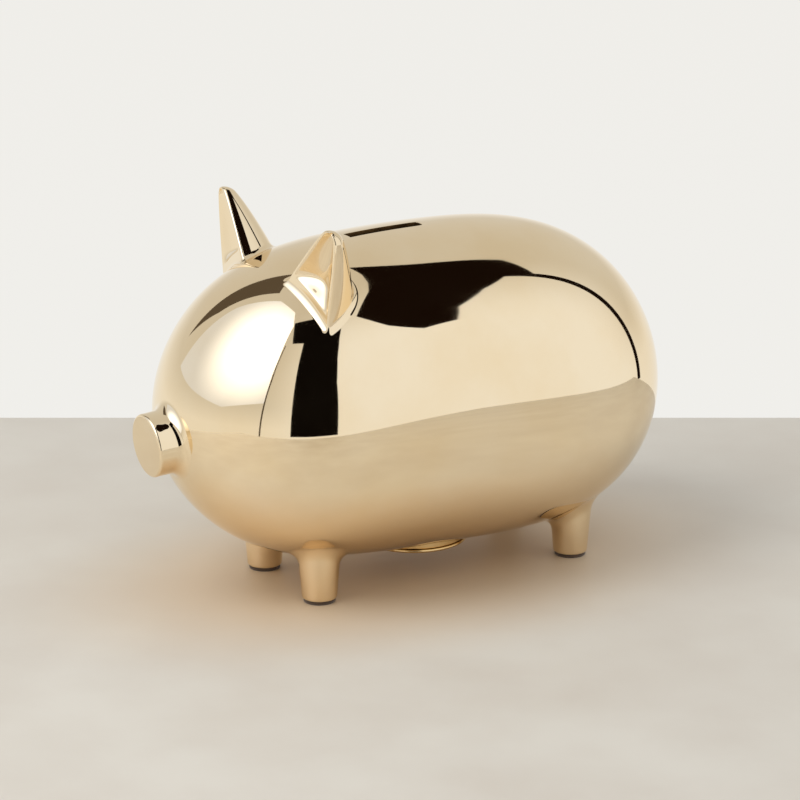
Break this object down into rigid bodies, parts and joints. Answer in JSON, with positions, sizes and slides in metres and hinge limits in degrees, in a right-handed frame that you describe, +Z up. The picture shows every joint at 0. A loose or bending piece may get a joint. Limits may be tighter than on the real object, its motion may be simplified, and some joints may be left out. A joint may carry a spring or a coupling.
{
  "type": "figural animal coin bank",
  "caption": "Hollow polished-metal coin bank in the figure of a pig: egg-shaped body on stub feet, disc snout, cupped ears, slot in the back and a pull-out stopper in the belly.",
  "frame": {"origin": "on the table, under the middle of the bank's overall box", "axes": "+Z up; the pig faces -Y, so its snout is at -Y and its rump at +Y; its left side is +X"},
  "size_m": [0.1158, 0.1992, 0.1367],
  "materials": {
    "polished_brass": "cast brass, ground and buffed to a mirror, clear lacquered",
    "inside_brass": "as turned, dull",
    "zinc_steel": "bright zinc plated",
    "bung_rubber": "moulded, matt",
    "pad_felt": "pressed wool felt"
  },
  "bodies": {
    "bank": {"front_shell": "polished_brass", "rear_shell": "polished_brass", "girth_backing_ring": "inside_brass", "snout": "polished_brass", "left_ear": "polished_brass", "right_ear": "polished_brass", "front_left_foot": "polished_brass", "front_right_foot": "polished_brass", "rear_left_foot": "polished_brass", "rear_right_foot": "polished_brass", "front_left_foot_pad": "pad_felt", "front_right_foot_pad": "pad_felt", "rear_left_foot_pad": "pad_felt", "rear_right_foot_pad": "pad_felt", "port_collar": "polished_brass"},
    "stopper": {"stopper_cap": "polished_brass", "stopper_bung": "bung_rubber", "stopper_washer": "zinc_steel", "stopper_screw": "zinc_steel"}
  },
  "joints": [
    {"name": "stopper_pull", "type": "slide", "parent": "bank", "child": "stopper", "axis": [0, 0, -1], "range_m": [0, 0.03]}
  ]
}
